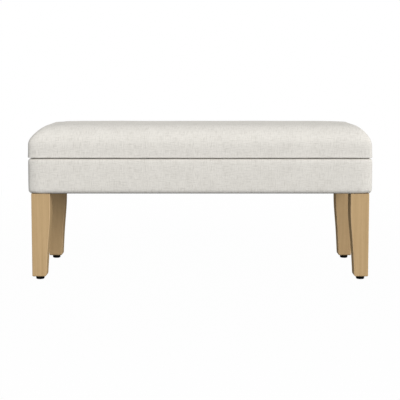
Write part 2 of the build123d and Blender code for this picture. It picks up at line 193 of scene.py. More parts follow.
def raise_surface(shader, height, distance, strength=1.0):
    """Let a height pattern tilt the shading."""
    tree = shader.id_data
    bump = add(tree, "Bump", {"Height": height, "Distance": distance, "Strength": strength})
    tree.links.new(bump.outputs["Normal"], shader.inputs["Normal"])


# %% [markdown]
# ## The linen-look cloth
#
# The cover is a plain weave in off-white yarns. The threads are about a millimetre apart, too
# fine to see from across a room. What the eye picks up instead is the heather: every yarn is
# spun from lighter and darker fibres, so it changes tone every few millimetres, and where a
# yarn is thick, it shows as a short slub along the bench or up it.
#
# A picture of cloth could be tiled over the cover, but a procedural weave never repeats and
# stays sharp close up. It reads the cover's own cloth map, so that the threads follow the
# surface round every roll and corner.

# %% Weave the linen
THREAD_PITCH = 1.1 * MM
LINEN_LIGHT = (0.809, 0.778, 0.725)
LINEN_DARK = (0.690, 0.660, 0.611)
LINEN_SLUB = (0.520, 0.490, 0.440)


def linen(name):
    """Off-white heathered plain weave with slubs, laid out on the piece's cloth map."""
    finish, tree, shader = new_finish(name, LINEN_LIGHT, 0.92, gloss=0.0)
    cloth = cloth_place(tree)
    turn = math.pi / THREAD_PITCH
    warp, weft = wave("SINE", cloth, "X", turn), wave("SINE", cloth, "Y", turn)
    weave = maths("MULTIPLY", warp, weft)
    upright_yarns = noise_at(cloth, (380, 46, 1), 2)
    level_yarns = noise_at(cloth, (46, 380, 1), 2)
    fleck = noise_at(cloth, (400, 400, 1), 2)
    cloud = noise_at(cloth, (18, 18, 1), 4)
    yarns = maths("ADD", upright_yarns, level_yarns)
    heather = maths("ADD", yarns, weighed(fleck, 1.1, cloud, 0.5))
    color = between(ranged(heather, 1.48, 2.12), LINEN_DARK, LINEN_LIGHT)
    slub = maths("MINIMUM", upright_yarns, level_yarns)
    color = tinted(color, LINEN_SLUB, slub, 0.42, 0.30, 0.3)
    coat(shader, tinted(color, LINEN_SLUB, weave, -0.5, 0.5, 0.10))
    raise_surface(shader, weighed(weave, 0.35, yarns, 0.15), 0.35 * MM, 0.7)
    return finish


cover_linen = linen("cover_linen")
print("linen threads a metre:", round(1 / THREAD_PITCH))

# %% [markdown]
# ## The legs' wood
#
# The legs are solid oak with a dead-matte oil finish, pale and warm, and the grain runs down each
# leg. The two rear legs are painted darker, as painted shade for the box's shadow on them. Grain
# is noise that is pulled out long in one direction: broad bands for the growth rings, and fine
# dark dashes for the open pores. Object coordinates give each leg its own place in the log, so
# that no two legs match.
#
# The eased edges are painted lighter, a painted highlight along each rounded edge. An eased edge
# is where the surface faces half along X and half along Y, so the product of those two parts of
# its normal finds it, and is nought on every flat.

# %% Grow the oak
OAK_LIGHT = (0.563, 0.392, 0.210)
OAK_DARK = (0.497, 0.340, 0.176)
OAK_REAR_SHADE = (0.425, 0.285, 0.152)       # painted shade on the two rear legs, for the shadow that the box casts on them
OAK_PORE = (0.270, 0.165, 0.075)
OAK_EDGE_HIGHLIGHT = (0.720, 0.520, 0.310)     # the eased edges, painted lighter: a painted highlight along each rounded edge


def oak(name):
    """Pale oak with its grain along Z, oiled matte."""
    finish, tree, shader = new_finish(name, OAK_LIGHT, 0.6, gloss=0.0)
    place = solid_place(tree)
    rings = noise_at(place, (150, 150, 3.2), 3)
    streaks = noise_at(place, (420, 420, 9), 3)
    pores = noise_at(place, (1500, 1500, 60), 2)
    back = axis_of(place, "Y")
    color = between(ranged(rings, 0.36, 0.66), OAK_LIGHT, OAK_DARK)
    # painted shade: towards the rear, the legs take up to two fifths of a darker oak
    color = tinted(color, OAK_REAR_SHADE, back, -0.1, 0.1, 0.4)
    color = tinted(color, OAK_DARK, streaks, 0.45, 0.75, 0.4)
    color = tinted(color, OAK_PORE, pores, 0.60, 0.74, 0.3)
    # painted highlight: the eased edges, found by their normals, are painted lighter
    facing = add(tree, "TexCoord").outputs["Normal"]
    edge = maths("MULTIPLY", axis_of(facing, "X"), axis_of(facing, "Y"))
    color = tinted(color, OAK_EDGE_HIGHLIGHT, maths("ABSOLUTE", edge), 0.05, 0.45, 0.7)
    coat(shader, color, ranged(streaks, 0.3, 0.7, 0.52, 0.68))
    raise_surface(shader, weighed(streaks, 0.4, pores, -1.0), 0.12 * MM, 0.35)
    return finish


leg_oak = oak("leg_oak")
print("oak finish:", leg_oak.name)

# %% [markdown]
# ## The hidden boards
#
# The box and the lid are screwed up from plywood. A plywood sheet shows long grain on its face
# and stripes along its edges, where the veneers are glued crosswise. The stripes come from a
# square wave along the board's thickness. On a face that wave doesn't change, so the same
# finish shows grain there and layers on the edges. Each board is told which way it is thick.

# %% Glue up the plywood
VENEER = 1.5 * MM
PLY_FACE = (0.545, 0.375, 0.195)
PLY_EDGE = (0.360, 0.220, 0.100)


def plywood(name, thickness_axis, grain_scale):
    """Raw plywood whose veneers are stacked along one axis."""
    finish, tree, shader = new_finish(name, PLY_FACE, 0.72)
    place = solid_place(tree)
    grain = noise_at(place, grain_scale, 4)
    layer = wave("SINE", place, thickness_axis, math.pi / VENEER)
    color = tinted(PLY_FACE, PLY_EDGE, layer, -0.2, 0.2, 0.55)
    coat(shader, tinted(color, PLY_EDGE, grain, 0.42, 0.70, 0.6))
    raise_surface(shader, grain, 0.3 * MM, 0.5)
    return finish


ply_level = plywood("ply_level", "Z", (5, 160, 160))
ply_long = plywood("ply_long", "Y", (5, 160, 160))
ply_short = plywood("ply_short", "X", (160, 5, 160))
print("plywood veneer, mm:", VENEER / MM)

# %% [markdown]
# ## Metal, plastic and rubber
#
# The hinges and the stays are nickel plated with a satin face, and the screws, bolts and nuts
# are bright zinc. A plated sheet is never a perfect mirror: its roughness wanders, and rolling
# leaves faint lines along it. The glides under the legs are black moulded plastic, and the
# four bumpers are dark rubber.


# %% Plate the metal and mould the plastic
def plated(name, color, roughness, brush_scale):
    """Plated steel with rolling marks along one axis and uneven polish."""
    finish, tree, shader = new_finish(name, color, roughness, sockets={"Metallic": 1.0})
    place = solid_place(tree)
    brush = noise_at(place, brush_scale, 2)
    patches = noise_at(place, (60, 60, 60), 3)
    polish = ranged(patches, 0.3, 0.7, roughness - 0.08, roughness + 0.12)
    shade = tuple(0.72 * part for part in color)
    coat(shader, tinted(color, shade, patches, 0.4, 0.8, 0.5), polish)
    raise_surface(shader, brush, 0.05 * MM, 0.4)
    return finish


def moulded(name, color, roughness, grain, gloss=0.1):
    """Dark moulded plastic or rubber with a fine spark-eroded grain."""
    finish, tree, shader = new_finish(name, color, roughness, gloss)
    place = solid_place(tree)
    speckle = noise_at(place, (grain, grain, grain), 2)
    scuffs = ranged(noise_at(place, (240, 240, 240), 3), 0.5, 0.8)
    polish = ranged(speckle, 0.3, 0.7, roughness - 0.06, roughness + 0.1)
    paler = tuple(1.6 * part for part in color)
    coat(shader, between(scuffs, color, paler), polish)
    raise_surface(shader, speckle, 0.06 * MM, 0.6)
    return finish


zinc = plated("zinc_steel", (0.62, 0.63, 0.65), 0.34, (900, 900, 900))
hinge_nickel = plated("hinge_nickel", (0.56, 0.55, 0.53), 0.30, (60, 1800, 1800))
stay_nickel = plated("stay_nickel", (0.56, 0.55, 0.53), 0.32, (1800, 120, 1800))
glide_plastic = moulded("glide_plastic", (0.003, 0.003, 0.003), 0.6, 2400, gloss=0.02)
bumper_rubber = moulded("bumper_rubber", (0.030, 0.030, 0.031), 0.65, 1500)
print("metal finishes:", zinc.name, hinge_nickel.name, stay_nickel.name)

# %% [markdown]
# ## Linings and fillings
#
# The linings are spun-bonded fabric: fibres rolled flat and welded together by rows of tiny
# dots. The filling is a block of open-celled foam, and the wadding over it is a fluffy white
# fleece. None of these is woven, so each has its own pattern: a grid of pressed dots over
# tangled fibres, round open cells, and long soft strands.

# %% Press the lining, blow the foam, card the wadding
DOT_PITCH = 2.2 * MM


def spun_bond(name):
    """Black spun-bonded lining with a grid of welded dots, laid out on the cloth map."""
    finish, tree, shader = new_finish(name, (0.030, 0.030, 0.032), 0.80, gloss=0.3)
    cloth = cloth_place(tree)
    turn = 2 * math.pi / DOT_PITCH
    along, up = wave("COSINE", cloth, "X", turn), wave("COSINE", cloth, "Y", turn)
    dot = ranged(maths("ADD", along, up), 0.7, 1.5)
    fibres = noise_at(cloth, (900, 260, 1), 4)
    tangle = noise_at(cloth, (70, 70, 1), 3)
    color = between(ranged(fibres, 0.40, 0.70), (0.022, 0.022, 0.024), (0.058, 0.058, 0.060))
    color = tinted(color, (0.040, 0.040, 0.042), tangle, 0.4, 0.7, 0.5)
    polish = ranged(dot, 0.0, 1.0, 0.82, 0.55)
    coat(shader, between(dot, color, (0.015, 0.015, 0.016)), polish)
    raise_surface(shader, weighed(fibres, 0.6, dot, -1.0), 0.2 * MM, 0.8)
    return finish


def foam(name):
    """Cream open-celled foam."""
    finish, tree, shader = new_finish(name, (0.80, 0.74, 0.57), 0.9, sockets={"Sheen Weight": 0.1})
    place = solid_place(tree)
    cells = add(tree, "TexVoronoi", {"Vector": place, "Scale": 900.0}).outputs["Distance"]
    tone = noise_at(place, (9, 9, 9), 3)
    color = between(ranged(cells, 0.15, 0.6), (0.62, 0.54, 0.37), (0.83, 0.77, 0.60))
    coat(shader, tinted(color, (0.78, 0.69, 0.48), tone, 0.4, 0.7, 0.3))
    raise_surface(shader, cells, 0.5 * MM, 0.8)
    return finish


def fleece(name):
    """White polyester wadding with long tangled strands."""
    fluff = {"Sheen Weight": 0.4, "Sheen Roughness": 0.6}
    finish, tree, shader = new_finish(name, (0.88, 0.88, 0.87), 0.95, sockets=fluff)
    place = solid_place(tree)
    strands = noise_at(place, (60, 500, 500), 5)
    tufts = noise_at(place, (45, 45, 45), 3)
    color = between(ranged(strands, 0.35, 0.65), (0.80, 0.80, 0.79), (0.90, 0.90, 0.89))
    coat(shader, color)
    raise_surface(shader, maths("ADD", strands, tufts), 2 * MM, 0.7)
    return finish


lining_black = spun_bond("lining_black")
lining_thread = moulded("lining_thread", (0.075, 0.075, 0.078), 0.6, 3000)
seat_foam = foam("seat_foam")
wadding_fleece = fleece("wadding_fleece")
print("welded dots a metre:", round(1 / DOT_PITCH))

# %% [markdown]
# ## A cover, laid out like a dress pattern
#
# A tight cover could be modelled as a block with rounded edges. A sheet of square cells that
# wraps over the form serves better here: its cells follow the threads, it takes a cloth
# simulation well, and each point can carry its place on the flat cloth.
#
# The sheet starts as a flat grid on top of the form. The grid's edge is then extruded again and
# again, ring after ring, over the crown, down the sides, round the bottom roll and in under the
# board. A `Ring` says how large the form is at that level. Every ring has the same cells, so
# one rule places them all: spread the cells along the sides, then pull the corners in to an
# arc. Two narrow cells on each side of a corner keep that arc round.


# %% Rings of a cover
LEAST_RADIUS = 2 * MM


class Ring:
    """One level of a form: half sizes left, right and in depth, corner radius and height."""

    def __init__(self, left, right, depth, radius, height):
        self.left, self.right, self.depth = left, right, depth
        self.radius, self.height = radius, height

    def moved_in(self, inward, height):
        """The same ring at another height, moved in on every side."""
        radius = min(self.radius, max(LEAST_RADIUS, self.radius - inward))
        return Ring(self.left - inward, self.right - inward, self.depth - inward, radius, height)


ARC_STOPS = (1 - math.tan(math.pi / 8), 0.0)
EASE_RUN, EASE_DEPTH = 31 * MM, 7.5 * MM    # how the long sides draw in towards the corners


def places(low, high, radius, cells):
    """Places of the cell edges along one side, close together where the side turns a corner."""
    straight_low, straight_high = -(low - radius), high - radius
    inner = [straight_low + (straight_high - straight_low) * i / cells for i in range(cells + 1)]
    start = [-(low - radius * stop) for stop in reversed(ARC_STOPS)]
    end = [high - radius * stop for stop in ARC_STOPS]
    return start + inner + end


def held(value, low, high):
    """The value, held between two limits."""
    return max(low, min(high, value))


def settle(ring, verts, column, row, cells):
    """Move the cells' corners to their places on one ring of the form."""
    xs = places(ring.left, ring.right, ring.radius, cells[0])
    ys = places(ring.depth, ring.depth, ring.radius, cells[1])
    for vert in verts:
        x, y = xs[vert[column]], ys[vert[row]]
        core_x = held(x, ring.radius - ring.left, ring.right - ring.radius)
        core_y = held(y, ring.radius - ring.depth, ring.depth - ring.radius)
        out = Vector((x - core_x, y - core_y))
        on_edge = vert[column] in (0, len(xs) - 1) or vert[row] in (0, len(ys) - 1)
        if on_edge and out.length > 0:
            out *= ring.radius / out.length
        x, y = core_x + out.x, core_y + out.y
        to_end = (ring.right if x > 0 else ring.left) - abs(x)
        easing = EASE_DEPTH * max(0.0, 1 - to_end / EASE_RUN) ** 2
        vert.co = (x, y * (1 - easing / ring.depth), ring.height)


# %% [markdown]
# The grid's points keep three notes: their column, their row, and how far the cloth has run
# since the flat top. Extruding copies the notes to the new ring, so the next cell can write the
# cloth map from them. At a corner the front cloth and the end cloth meet along a line, as they
# do in a sewn cover.


# %% Wrap a sheet over the rings
SAME_PLACE = 0.001 * MM     # points closer than this are one point


def flat_grid(sheet, ring, cells, column, row):
    """A grid of cells across one ring, whose points know their column and row."""
    counts = (cells[0] + 4, cells[1] + 4)
    grid = bmesh.ops.create_grid(sheet, x_segments=counts[0], y_segments=counts[1], size=1)["verts"]
    for vert in grid:
        vert[column] = round((vert.co.x + 1) / 2 * counts[0])
        vert[row] = round((vert.co.y + 1) / 2 * counts[1])
    settle(ring, grid, column, row, cells)


def wrap(rings, cells, keep_top=True, close_bottom=False):
    """A sheet of cloth over the rings, with a cloth map in metres."""
    sheet = bmesh.new()
    column = sheet.verts.layers.int.new("column")
    row = sheet.verts.layers.int.new("row")
    run = sheet.verts.layers.float.new("run")
    flat_grid(sheet, rings[0], cells, column, row)
    top_faces = sheet.faces[:]
    edges = [edge for edge in sheet.edges if edge.is_boundary]
    for last, ring in zip(rings, rings[1:]):
        made = bmesh.ops.extrude_edge_only(sheet, edges=edges)["geom"]
        edges = [part for part in made if isinstance(part, bmesh.types.BMEdge) and part.is_boundary]
        verts = {vert for edge in edges for vert in edge.verts}
        for vert in verts:
            vert[run] += math.hypot(ring.depth - last.depth, ring.height - last.height)
        settle(ring, verts, column, row, cells)
    if close_bottom:
        flat_grid(sheet, rings[-1], cells, column, row)
    write_cloth_map(sheet, rings[0], column, row, run)
    if not keep_top:
        bmesh.ops.delete(sheet, geom=top_faces, context="FACES")
    bmesh.ops.remove_doubles(sheet, verts=sheet.verts, dist=SAME_PLACE)
    bmesh.ops.recalc_face_normals(sheet, faces=sheet.faces)
    return sheet


def write_cloth_map(sheet, top, column, row, run):
    """Each face's place on the flat cloth: the front and back along X, the ends along Y."""
    cloth = sheet.loops.layers.uv.new("cloth")
    for face in sheet.faces:
        columns = {vert[column] for vert in face.verts}
        rows = {vert[row] for vert in face.verts}
        on_end = len(columns) == 1 and len(rows) > 1
        on_front = len(rows) == 1 and len(columns) > 1
        for loop in face.loops:
            vert = loop.vert
            x, y = vert.co.x, vert.co.y
            if on_end:
                x = (top.right + vert[run]) * (1 if vert[column] else -1)
            if on_front:
                y = (top.depth + vert[run]) * (1 if vert[row] else -1)
            loop[cloth].uv = (x, y)


print("covers are laid out in rings")

# %% [markdown]
# ## The form of the lid
#
# The lid's sides stand upright for about an inch, and then a soft crown rolls over to the flat
# top. The crown rolls gently at the front and the back, and tighter at the two ends, where the
# right end is a little tighter than the left, as hand upholstery is. Each curve is a
# superellipse. A power of two would make a quarter of an ellipse: the front and the back are a
# little fuller than that, and the ends are flatter, nearer to a chamfer. Where the cloth is
# pulled down over an end, the top sinks a little just inside the roll.

# %% Shape the lid
lid_low, lid_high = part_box("lid_cover")
LID_CORNER, CROWN_CORNER = 8 * MM, 30 * MM  # the corner radius at the sides and on top
CROWN_SIDE = (98 * MM, 65 * MM, 2.45)   # run, drop and power at the front and the back
CROWN_LEFT = (47 * MM, 46.5 * MM, 1.31)
CROWN_RIGHT = (42 * MM, 51 * MM, 1.45)
LID_PROUD = (2.0 * MM, 0.8 * MM)        # how far the padding pushes the two ends out
CROWN_RINGS = 14
DOME, DOME_END = 2.7 * MM, 150 * MM     # the dome's height, and where it starts to level
END_DIP = (1.9 * MM, 0.3 * MM)          # how far the top sinks inside the two end rolls
DIP_PLACE, DIP_REACH = 59 * MM, 22 * MM
LID_ROLL = 2.2 * MM
LID_LIP = 0.2 * MM                      # how far the padding pushes the lower edge down
TURN_UNDER = 26.5 * MM


def share_left(share, power):
    """The other coordinate of a unit superellipse."""
    return (1 - share ** power) ** (1 / power)


def crown_inset(curve, under_top):
    """How far the crown has come in from the lid's side, at a depth under the flat top."""
    run, drop, power = curve
    return run * (1 - share_left(max(0.0, 1 - under_top / drop), power))


def crown_rings(inset, proud=(0.0, 0.0)):
    """Rings from the flat top down to the upright sides of the lid, moved in by an inset."""
    run, drop, power = CROWN_SIDE
    rings = []
    for step in range(CROWN_RINGS, -1, -1):
        share = math.cos(math.pi / 2 * step / CROWN_RINGS)
        under_top = drop * (1 - share_left(share, power))
        rings.append(Ring(
            lid_high.x + proud[0] - inset - crown_inset(CROWN_LEFT, under_top),
            lid_high.x + proud[1] - inset - crown_inset(CROWN_RIGHT, under_top),
            lid_high.y - inset - run * (1 - share),
            CROWN_CORNER + (LID_CORNER - CROWN_CORNER) * share - inset,
            lid_high.z - inset - under_top,
        ))
    return rings


def upright_rings(widest, low, steps):
    """Rings straight down from the widest one, to a height."""
    top = widest.height
    return [widest.moved_in(0, top + (low - top) * i / steps) for i in range(1, steps + 1)]


def roll_rings(widest, roll, way, steps):
    """Rings round a rolled edge that turns inwards from the widest ring, up (1) or down (-1)."""
    angles = [math.pi / 2 * i / steps for i in range(1, steps + 1)]
    return [
        widest.moved_in(roll * (1 - math.cos(angle)), widest.height + way * roll * math.sin(angle))
        for angle in angles
    ]


def flange_rings(edge, reach, steps):
    """Rings across the flat flange that is turned in under a board or over a panel."""
    return [edge.moved_in(reach * i / steps, edge.height) for i in range(1, steps + 1)]


def crown_up(sheet):
    """Raise the top into a low dome, level at the two ends, and sink it inside their rolls."""
    for vert in sheet.verts:
        if vert.co.z > lid_high.z - CROWN_SIDE[1]:
            across = max(0.0, 1 - (vert.co.y / lid_high.y) ** 2)
            from_end = lid_high.x - abs(vert.co.x)
            along = held(from_end / DOME_END, 0.0, 1.0)
            off_dip = held(abs(from_end - DIP_PLACE) / DIP_REACH, 0.0, 1.0)
            dip = END_DIP[0 if vert.co.x < 0 else 1] * (1 + math.cos(math.pi * off_dip)) / 2
            vert.co.z += across * (DOME * along * along * (3 - 2 * along) - dip)


LID_CELLS = (72, 18)
lid_rings = crown_rings(0, LID_PROUD)
lid_rings += upright_rings(lid_rings[-1], lid_low.z + LID_ROLL, steps=4)
lid_rings += roll_rings(lid_rings[-1], LID_ROLL, -1, steps=4)
lower_edge = lid_rings[-1]
lid_rings += flange_rings(lower_edge, TURN_UNDER - LID_ROLL, steps=4)
lower_edge.height -= LID_LIP
print("rings in the lid's cover:", len(lid_rings))

# %% [markdown]
# ## Plumping a cover with cloth simulation
#
# A flat-sided form looks like a painted board. In a real bench the foam pushes the cloth out a
# little between the edges that hold it. Moving points by hand could fake that, but a cloth
# simulation finds the shape by itself: the sheet is closed into a balloon, its turned-in edge
# is pinned, a pressure blows it up for twenty frames, and the result is kept.
#
# Blown cloth goes too far, so every point's move is then limited. On the flat top the limit is
# very small, because foam that is stretched tight lies straight there.

# %% Blow up the covers
PLUMP_FRAMES = 20
PLUMP_SETTINGS = {
    "quality": 6, "mass": 0.3, "tension_stiffness": 40, "compression_stiffness": 40,
    "shear_stiffness": 20, "bending_stiffness": 8, "use_pressure": True,
    "uniform_pressure_force": 4.0, "vertex_group_mass": "pinned",
}


def as_object(name, sheet):
    """Make an object from a bmesh, smooth shaded."""
    mesh = bpy.data.meshes.new(name)
    sheet.to_mesh(mesh)
    sheet.free()
    mesh.shade_smooth()
    piece = bpy.data.objects.new(name, mesh)
    scene.collection.objects.link(piece)
    return piece


def blown(sheet, pinned):
    """Where a cloth simulation takes each point of the sheet."""
    balloon = sheet.copy()
    openings = [edge for edge in balloon.edges if edge.is_boundary]
    bmesh.ops.holes_fill(balloon, edges=openings, sides=0)
    bmesh.ops.recalc_face_normals(balloon, faces=balloon.faces)
    piece = as_object("balloon", balloon)
    group = piece.vertex_groups.new(name="pinned")
    group.add(pinned, 1.0, "REPLACE")
    cloth = piece.modifiers.new("cloth", "CLOTH")
    for name, value in PLUMP_SETTINGS.items():
        setattr(cloth.settings, name, value)
    cloth.settings.effector_weights.gravity = 0
    cloth.point_cache.frame_start = 1
    cloth.point_cache.frame_end = PLUMP_FRAMES
    for moment in range(1, PLUMP_FRAMES + 1):
        scene.frame_set(moment)
    result = piece.evaluated_get(bpy.context.evaluated_depsgraph_get())
    moved = [vert.co.copy() for vert in result.to_mesh().vertices]
    result.to_mesh_clear()
    bpy.data.objects.remove(piece)
    scene.frame_set(1)
    return moved


def plump(sheet, held_below, held_above, side_limit, top_limit):
    """Blow the sheet up between two heights, and keep a limited share of every move."""
    sheet.verts.index_update()
    sheet.verts.ensure_lookup_table()
    pinned = [vert.index for vert in sheet.verts if not held_below < vert.co.z < held_above]
    moved = blown(sheet, pinned)
    for vert in sheet.verts:
        move = moved[vert.index] - vert.co
        flatness = abs(vert.normal.z)
        limit = side_limit + (top_limit - side_limit) * flatness
        if move.length > 0:
            vert.co += move * limit / (limit + move.length)


def hand_pull(sheet, depth, length, seed):
    """Faint unevenness that a tacker's hands leave in a tight cover."""
    sheet.normal_update()
    for vert in sheet.verts:
        spot = vert.co / length + Vector((seed, 0, 0))
        vert.co += vert.normal * depth * noise.noise(spot)


# %% [markdown]
# ## The lid's cover
#
# The cover is one sheet, a little over a millimetre thick. The modifiers round its cells once
# and give it that thickness on the inside, so that the outer face keeps its size.

# %% Sew the lid's cover
CLOTH_THICKNESS = 1.2 * MM
LID_PLUMP = (2.2 * MM, 0.5 * MM)        # the most that the sides and the flat top swell
LID_PULL = (0.5 * MM, 110 * MM, 3.0)    # depth, length and seed of the unevenness
PIN_REACH = 0.5 * MM                    # how far the pinned edge reaches up the cloth


def finish_piece(piece, body, slot, finish, *nodes):
    """Give a piece its finish and its body, and hide the nodes that it stands for. The slot is not
    used.
    """
    piece.data.materials.clear()
    piece.data.materials.append(finish)
    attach(piece, body)
    if nodes:
        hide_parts(*nodes)


def thicken(piece, thickness, rounding=1):
    """Round the cells, then give the sheet its thickness on the inside."""
    if rounding:
        smooth = piece.modifiers.new("rounding", "SUBSURF")
        smooth.levels = smooth.render_levels = rounding
    shell = piece.modifiers.new("thickness", "SOLIDIFY")
    shell.thickness = thickness
    shell.offset = -1
    return piece


lid_sheet = wrap(lid_rings, LID_CELLS)
crown_up(lid_sheet)
plump(lid_sheet, lid_low.z + PIN_REACH, math.inf, *LID_PLUMP)
hand_pull(lid_sheet, *LID_PULL)
lid_cover = thicken(as_object("lid_linen_cover", lid_sheet.copy()), CLOTH_THICKNESS)
finish_piece(lid_cover, "lid", "linen_fabric", cover_linen, "lid_cover")
print("cells in the lid's cover:", len(lid_cover.data.polygons))

# %% [markdown]
# ## The box's cover
#
# The box is covered with one band of the same cloth. It starts inside the rim, rolls over the
# edge, runs down the sides, rolls in at the bottom and ends under the box. The band is wrapped
# with the same rings, and its flat top is thrown away.

# %% Sew the box's cover
box_low, box_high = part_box("base_cover")
rim_inner_x = -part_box("base_left_panel")[1].x
BOX_CORNER = 8 * MM
BOX_TOP_ROLL, BOX_BOTTOM_ROLL = 8.5 * MM, 11.5 * MM
BOX_LIP = 0.8 * MM          # how far the padding pushes the rim's outer edge up
BOX_PROUD = 2.4 * MM        # how far the padding pushes the cloth out at the two ends
BOX_TURN_UNDER = 25 * MM
BOX_PLUMP = (0.9 * MM, 0.2 * MM)
BOX_PULL = (0.35 * MM, 90 * MM, 11.0)
BOX_CELLS = (76, 26)


def box_rings():
    """Rings of the box's cover, from the rim's inner edge down and round to the turned-in edge."""
    half_x = box_high.x + BOX_PROUD
    widest = Ring(half_x, half_x, box_high.y, BOX_CORNER, box_high.z - BOX_TOP_ROLL)
    up = roll_rings(widest, BOX_TOP_ROLL, 1, steps=4)
    over_rim = flange_rings(up[-1], up[-1].left - rim_inner_x, steps=2)
    up[-1].height += BOX_LIP
    rings = over_rim[::-1] + up[::-1] + [widest]
    rings += upright_rings(widest, box_low.z + BOX_BOTTOM_ROLL, steps=6)
    rings += roll_rings(rings[-1], BOX_BOTTOM_ROLL, -1, steps=5)
    rings += flange_rings(rings[-1], BOX_TURN_UNDER - BOX_BOTTOM_ROLL, steps=2)
    return rings


box_sheet = wrap(box_rings(), BOX_CELLS, keep_top=False)
plump(box_sheet, box_low.z + PIN_REACH, box_high.z - PIN_REACH, *BOX_PLUMP)
hand_pull(box_sheet, *BOX_PULL)
box_cover = thicken(as_object("box_linen_cover", box_sheet), CLOTH_THICKNESS)
finish_piece(box_cover, "base", "linen_fabric", cover_linen, "base_cover")
print("cells in the box's cover:", len(box_cover.data.polygons))

# %% [markdown]
# ## The lid's wadding and foam
#
# Under the cover lies a layer of wadding, and under that a block of foam on the lid's board. They
# are out of sight, but they are real parts: a maker who opens the model finds them there. The
# wadding is the cover's own plumped sheet, moved in by one cloth and thickened, so that it fills
# every swelling. The foam is wrapped with the same rings, a wadding's thickness further in, and
# closed with a flat grid at the board.

# %% Fit the lid's wadding and foam
COVER_GAP = 0.3 * MM
WADDING_THICKNESS = 5 * MM

wadding_sheet = lid_sheet.copy()
turned_in = [vert for vert in wadding_sheet.verts if vert.co.z < lid_low.z + LID_ROLL - 1 * MM]
bmesh.ops.delete(wadding_sheet, geom=turned_in, context="VERTS")
wadding_sheet.normal_update()
for vert in wadding_sheet.verts:
    vert.co -= vert.normal * (CLOTH_THICKNESS + COVER_GAP)
lid_wadding = thicken(as_object("lid_wadding", wadding_sheet), WADDING_THICKNESS)
finish_piece(lid_wadding, "lid", "batting", wadding_fleece, "lid_batting")

foam_low, foam_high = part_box("lid_foam")
foam_rings = crown_rings(lid_high.z - foam_high.z)
foam_rings += upright_rings(foam_rings[-1], foam_low.z, steps=3)
foam_block = as_object("lid_foam_block", wrap(foam_rings, LID_CELLS, close_bottom=True))
finish_piece(foam_block, "lid", "padding_foam", seat_foam, "lid_foam")
print("foam height, mm:", round(1000 * (foam_high.z - foam_low.z), 1))

# %% [markdown]
# ## The box's wadding
#
# A band of wadding runs round the outside of the box, between the panels and the cover. Its
# cross-section is a flat strip with its outer edges rounded away. The rings run down the outside
# and back up the inside, and where the last ring meets the first one, their points are merged.

# %% Wrap the box in wadding
pad_low, pad_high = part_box("base_padding")
PAD_ROLL = 5 * MM
PAD_SHORT = 2.5 * MM        # how far the band stays clear of the cover's turns


def band_rings():
    """Rings round the section of the wadding band, out, down, in and up."""
    top, bottom = pad_high.z - PAD_SHORT, pad_low.z + PAD_SHORT
    widest = Ring(pad_high.x, pad_high.x, pad_high.y, BOX_CORNER - CLOTH_THICKNESS, top - PAD_ROLL)
    rings = roll_rings(widest, PAD_ROLL, 1, steps=3)[::-1] + [widest]
    rings += upright_rings(widest, bottom + PAD_ROLL, steps=3)
    rings += roll_rings(rings[-1], PAD_ROLL, -1, steps=3)
    rings += upright_rings(rings[-1], top, steps=3)
    return rings


box_wadding = as_object("box_wadding", wrap(band_rings(), BOX_CELLS, keep_top=False))
finish_piece(box_wadding, "base", "batting", wadding_fleece, "base_padding")
print("wadding band, mm wide:", round(1000 * (pad_high.z - pad_low.z)))

# %% [markdown]
# ## The compartment's lining
#
# Inside, the box is lined with black spun-bonded fabric: a floor, four walls and a stitched hem
# under the rim. It is the same kind of sheet as the covers, with its rings running outwards and
# up instead of down. A real lining never lies quite flat, so its long walls are drawn in softly
# here and there. The end walls stay flat under the stays' brackets.

# %% Line the compartment
lining_low, lining_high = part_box("compartment_liner")
LINING_THICKNESS = 0.8 * MM
LINING_FOLD = 4 * MM
FOLD_STEPS = 4
LINING_CORNER = 5 * MM
LINING_CELLS = (60, 22)
DRAW_DEPTH, DRAW_LENGTH, DRAW_SEED = 2.4 * MM, 60 * MM, 21.0
DRAW_CLEAR, DRAW_EASE = 10 * MM, 40 * MM    # flat at each end, and the run to the full depth


def lining_rings():
    """Rings from the lining's floor out round the fold and up the walls."""
    wall_x, wall_y = lining_high.x, lining_high.y
    rings = []
    for step in range(FOLD_STEPS + 1):
        angle = math.pi / 2 * step / FOLD_STEPS
        inward = LINING_FOLD * (1 - math.sin(angle))
        height = lining_low.z + LINING_FOLD * (1 - math.cos(angle))
        radius = LINING_CORNER - inward
        rings.append(Ring(wall_x - inward, wall_x - inward, wall_y - inward, radius, height))
    return rings + upright_rings(rings[-1], lining_high.z, steps=7)


def draw_in(sheet):
    """Draw the lining's long walls in softly, and leave its ends, floor and rim flat."""
    for vert in sheet.verts:
        if abs(vert.normal.y) > 0.5:
            up = (vert.co.z - lining_low.z) / lining_size.z
            bell = max(0.0, math.sin(math.pi * held(up, 0.0, 1.0)))
            along = held((lining_high.x - DRAW_CLEAR - abs(vert.co.x)) / DRAW_EASE, 0.0, 1.0)
            soft = 0.5 + 0.5 * noise.noise(vert.co / DRAW_LENGTH + Vector((DRAW_SEED, 0, 0)))
            vert.co.y -= math.copysign(DRAW_DEPTH * bell * along * soft, vert.co.y)


lining_size = lining_high - lining_low
lining_sheet = wrap(lining_rings(), LINING_CELLS)
draw_in(lining_sheet)
box_lining = thicken(as_object("box_lining", lining_sheet), LINING_THICKNESS)
finish_piece(box_lining, "base", "lining_fabric", lining_black, "compartment_liner")
print("lining, mm:", [round(1000 * side) for side in lining_size])

# %% [markdown]
# The hem is a second thickness of the lining along its top, held by a row of stitches. Each
# stitch is a small thread loop, stretched along the wall. There are more than four hundred of
# them, so one loop has only a few faces, and all of them are one piece.

# %% Stitch the hem
HEM_WIDTH = 12 * MM
STITCH_PITCH = 6 * MM
STITCH_SIZE = (4.2 * MM, 0.9 * MM, 0.9 * MM)
STITCH_RISE = 2.5 * MM      # from the hem's lower edge up to the stitches


